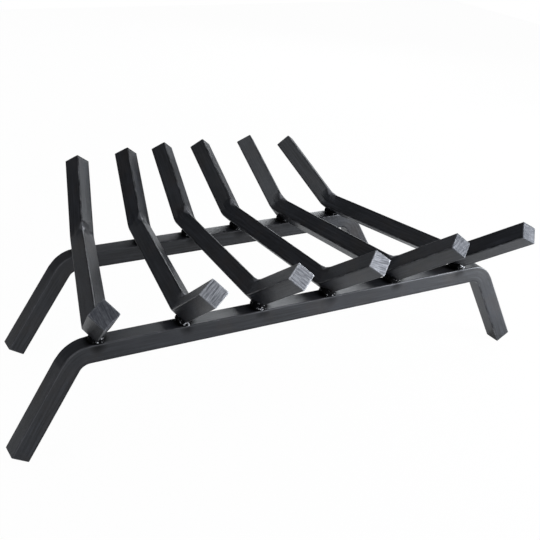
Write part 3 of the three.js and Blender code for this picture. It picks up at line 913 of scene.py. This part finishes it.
def sawn_steel(scene, bare):
    """Bare metal of a fresh-sawn end: furrows from the saw, paler where they stand proud, with
    faint mottling and a bright burr in stretches of its rim. The less of it is bare, the more
    of it is black."""
    finish = scene.grate_finish

    def make(name):
        s = Shader(name)
        coat = s.attribute("coat", "Vector")
        furrow = s.noise(s.scaled(coat, (1.5, 0.08, 1.0)), 1.0, 5.0, 0.65)
        coarse = s.noise(s.scaled(coat, (0.6, 0.05, 1.0)), 1.0, 3.0, 0.6)
        mottle = s.noise(s.scaled(coat, (0.3, 0.3, 1.0)), 1.0, 3.0, 0.6)
        tone = s.maths("ADD", s.maths("MULTIPLY", furrow, 0.45), s.maths("MULTIPLY", coarse, 0.55))
        tone = s.ramp(tone, 0.42, 0.6)
        tone = s.maths("MULTIPLY", tone, s.ramp(mottle, 0.3, 0.7, 0.6, 1.0))
        base = s.mix(tone, rgba(finish.groove), rgba(finish.bare))
        filled = s.ramp(s.maths("ADD", coarse, mottle), 0.8, 1.2, 1.0 - bare, 0.9 * (1.0 - bare))
        base = s.mix(filled, base, rgba(finish.streak))
        burred = s.ramp(mottle, 0.4, 0.6, 0.0, 0.9 * bare)
        rim = s.maths("MULTIPLY", s.attribute("edge_wear_and_shade", "Fac"), burred)
        base = s.mix(rim, base, rgba(finish.burr))
        s.feed(s.surface, Base_Color=base, Roughness=s.ramp(tone, 0.0, 1.0, 0.55, 0.36),
               Normal=s.bump(tone, 0.6, 0.0002))
        s.surface.inputs["Metallic"].default_value = 0.35
        return s.material

    return known("sawn_steel_%d" % round(100 * bare), make)


def painted_end(scene):
    """A sawn end under the black: the saw's furrows still show through it."""
    finish = scene.grate_finish

    def make(name):
        s = Shader(name)
        coat = s.attribute("coat", "Vector")
        furrow = s.noise(s.scaled(coat, (1.4, 0.06, 1.0)), 1.0, 5.0, 0.65)
        mottle = s.noise(s.scaled(coat, (0.3, 0.3, 1.0)), 1.0, 3.0, 0.6)
        tone = s.maths("MULTIPLY", s.ramp(furrow, 0.4, 0.65), s.ramp(mottle, 0.3, 0.7, 0.3, 1.0))
        base = s.mix(tone, rgba(finish.black), rgba(finish.streak))
        s.feed(s.surface, Base_Color=base, Roughness=s.ramp(furrow, 0.3, 0.7, 0.42, 0.6),
               Normal=s.bump(furrow, 0.5, 0.00015))
        return s.material

    return known("blackened_end", make)


def weld_metal(scene):
    """A hand-laid bead: dead black scale over rippled metal, kept near black also as painted shade
    for the shadowed corner under the bar, grainy, with bright specks where slag has come away,
    painted bright also as glints of that bare metal, most of them where the bead was begun."""
    finish = scene.grate_finish

    def make(name):
        s = Shader(name)
        place = s.node("ShaderNodeTexCoord").outputs["Object"]
        slag = s.noise(place, 380.0, 4.0, 0.6)
        grain = s.noise(place, 1500.0, 3.0, 0.6)
        patch = s.noise(place, 150.0, 3.0, 0.5)
        begun = s.ramp(s.attribute("fresh", "Fac"), 0.3, 0.8)
        begun = s.maths("MAXIMUM", begun, s.ramp(patch, 0.62, 0.68))
        # Specks of bare weld metal, painted bright also as glints.
        bright = s.maths("MULTIPLY", s.ramp(slag, 0.585, 0.615), begun)
        # Scale and weld metal, both near black, partly as painted shade for the shadowed corner.
        base = s.mix(s.ramp(grain, 0.35, 0.65, 0.0, 0.5), rgba(finish.scale), rgba(finish.bead))
        base = s.mix(bright, base, rgba(finish.bead_bright))
        height = s.maths("ADD", slag, s.maths("MULTIPLY", grain, 0.5))
        s.feed(s.surface, Base_Color=base, Roughness=s.ramp(slag, 0.35, 0.7, 0.7, 0.36),
               Normal=s.bump(height, 0.8, 0.0005))
        s.surface.inputs["Specular IOR Level"].default_value = 0.05
        return s.material

    return known("laid_bead", make)


def seen_share(s, reflected, level):
    """How much of the plain white a ray gets: the whole level straight from the camera or
    through glass, and a share of it in a reflection."""
    path = s.node("ShaderNodeLightPath").outputs
    sight = s.maths("MAXIMUM", path["Is Camera Ray"], path["Is Transmission Ray"])
    mirrored = s.maths("MULTIPLY", path["Is Glossy Ray"], reflected)
    return s.maths("MULTIPLY", s.maths("MAXIMUM", sight, mirrored), level)


def white_stage():
    """White floor: seen straight or in a reflection it is mostly plain white, and the rest is a
    matt surface that keeps the grate's shadow."""
    material = bpy.data.materials.new("white_floor")
    s = Nodes(material)
    matt = s.feed(s.node("ShaderNodeBsdfDiffuse"), Color=FLOOR_COLOUR)
    plain = s.feed(s.node("ShaderNodeEmission"), Color=WHITE, Strength=1.0)
    s.blend(seen_share(s, FLOOR_REFLECTED, FLOOR_WHITE), matt.outputs[0], plain.outputs[0],
            "ShaderNodeOutputMaterial")
    return material


# ---- Operators --------------------------------------------------------------


class GRATE_OT_rails(bpy.types.Operator):
    """Builds the two rails with their legs"""

    bl_idname = "grate.rails"
    bl_label = "Build rails"

    def execute(self, context):
        scene = context.scene
        rails = scene.grate_rails
        rail_piece(scene, "front", rails.front_shoulder, rails.front_splay, 1.0)
        rail_piece(scene, "rear", rails.rear_shoulder, rails.rear_splay, 2.0)
        return {"FINISHED"}


class GRATE_OT_log_bars(bpy.types.Operator):
    """Builds the six log bars with their turned-up ends"""

    bl_idname = "grate.log_bars"
    bl_label = "Build log bars"

    def execute(self, context):
        for number in range(len(HAND_SET_BARS)):
            bar_piece(context.scene, number)
        return {"FINISHED"}


class GRATE_OT_welds(bpy.types.Operator):
    """Lays a bead on either side of every crossing"""

    bl_idname = "grate.welds"
    bl_label = "Lay weld beads"

    def execute(self, context):
        # Each bead's ripples and lumps are out of step with the last one's by the golden angle.
        golden_angle = np.pi * (3 - np.sqrt(5))
        beads = 0
        for number in range(len(HAND_SET_BARS)):
            for name in OUTWARD:
                for hand, side in (("left", -1), ("right", 1)):
                    beads += 1
                    bead_piece(context.scene, number, name, hand, side, beads * golden_angle)
        return {"FINISHED"}


class GRATE_OT_stage(bpy.types.Operator):
    """Sets a white floor, soft lamps and the camera"""

    bl_idname = "grate.stage"
    bl_label = "Set the stage"

    def execute(self, context):
        scene = context.scene
        self.floor(scene)
        self.lamps(scene)
        self.sky(scene)
        self.camera(scene)
        scene.view_settings.view_transform = "Standard"
        return {"FINISHED"}

    def floor(self, scene):
        """A level square under the grate."""
        size = FLOOR_HALF_WIDTH
        corners = [(-size, -size, 0), (size, -size, 0), (size, size, 0), (-size, size, 0)]
        mesh = bpy.data.meshes.new("floor")
        mesh.from_pydata(corners, [], [(0, 1, 2, 3)])
        mesh.materials.append(white_stage())
        ground = bpy.data.objects.new("floor", mesh)
        scene.collection.objects.link(ground)

    def lamps(self, scene):
        """Soft square lamps that face the grate. The camera doesn't see them."""
        for name, place, width, power in LAMPS:
            light = bpy.data.lights.new(name, "AREA")
            light.size = width
            light.energy = power
            light.color = LAMP_COLOUR
            lamp = bpy.data.objects.new(name, light)
            lamp.location = place
            lamp.visible_camera = False
            facing = Vector(LAMP_AIM) - Vector(place)
            lamp.rotation_euler = facing.to_track_quat("-Z", "Y").to_euler()
            scene.collection.objects.link(lamp)

    def sky(self, scene):
        """Plain white where it is seen, and a dim even room as light."""
        world = bpy.data.worlds.new("white_room")
        scene.world = world
        s = Nodes(world)
        lit = s.feed(s.node("ShaderNodeBackground"), Color=ROOM_COLOUR, Strength=ROOM_STRENGTH)
        seen = s.feed(s.node("ShaderNodeBackground"), Color=WHITE, Strength=1.0)
        s.blend(seen_share(s, ROOM_REFLECTED, 1.0), lit.outputs[0], seen.outputs[0],
                "ShaderNodeOutputWorld")

    def camera(self, scene):
        """Looks along its yaw and pitch, and is rolled about that line."""
        yaw, pitch, roll = CAMERA_YAW, CAMERA_PITCH, CAMERA_ROLL
        forward = Vector((np.sin(yaw) * np.cos(pitch), np.cos(yaw) * np.cos(pitch), -np.sin(pitch)))
        level = Vector((np.cos(yaw), -np.sin(yaw), 0))
        top = level.cross(forward)
        right = level * np.cos(roll) + top * np.sin(roll)
        up = top * np.cos(roll) - level * np.sin(roll)
        data = bpy.data.cameras.new("camera")
        data.lens = CAMERA_LENS
        data.clip_end = CAMERA_FAR
        eye = bpy.data.objects.new("camera", data)
        turned = Matrix((right, up, -forward)).transposed().to_4x4()
        eye.matrix_world = Matrix.Translation(CAMERA_PLACE) @ turned
        scene.collection.objects.link(eye)
        scene.camera = eye


class GRATE_PT_panel(bpy.types.Panel):
    """The grate's sizes, colours and steps"""

    bl_idname = "GRATE_PT_panel"
    bl_label = "Log grate"
    bl_space_type = "VIEW_3D"
    bl_region_type = "UI"
    bl_category = "Log Grate"

    def draw(self, context):
        for group in SETTINGS:
            box = self.layout.box()
            box.label(text=group.__doc__)
            settings = getattr(context.scene, SETTINGS[group])
            for key in group.__annotations__:
                box.prop(settings, key)
        for step in STEPS:
            self.layout.operator(step.bl_idname)


SETTINGS = {
    GrateStock: "grate_stock",
    GrateRails: "grate_rails",
    GrateBars: "grate_bars",
    GrateWelds: "grate_welds",
    GrateFinish: "grate_finish",
}
STEPS = (GRATE_OT_rails, GRATE_OT_log_bars, GRATE_OT_welds, GRATE_OT_stage)


def register():
    """Registers the classes and hangs the settings on the scene."""
    for cls in (*SETTINGS, *STEPS, GRATE_PT_panel):
        bpy.utils.register_class(cls)
    for group, name in SETTINGS.items():
        setattr(bpy.types.Scene, name, bpy.props.PointerProperty(type=group))


def unregister():
    """Takes the settings and classes away again."""
    for name in SETTINGS.values():
        delattr(bpy.types.Scene, name)
    for cls in reversed((*SETTINGS, *STEPS, GRATE_PT_panel)):
        bpy.utils.unregister_class(cls)


def main():
    """Builds everything."""
    register()
    bpy.ops.grate.rails()
    bpy.ops.grate.log_bars()
    bpy.ops.grate.welds()
    bpy.ops.grate.stage()


if __name__ == "__main__":
    main()
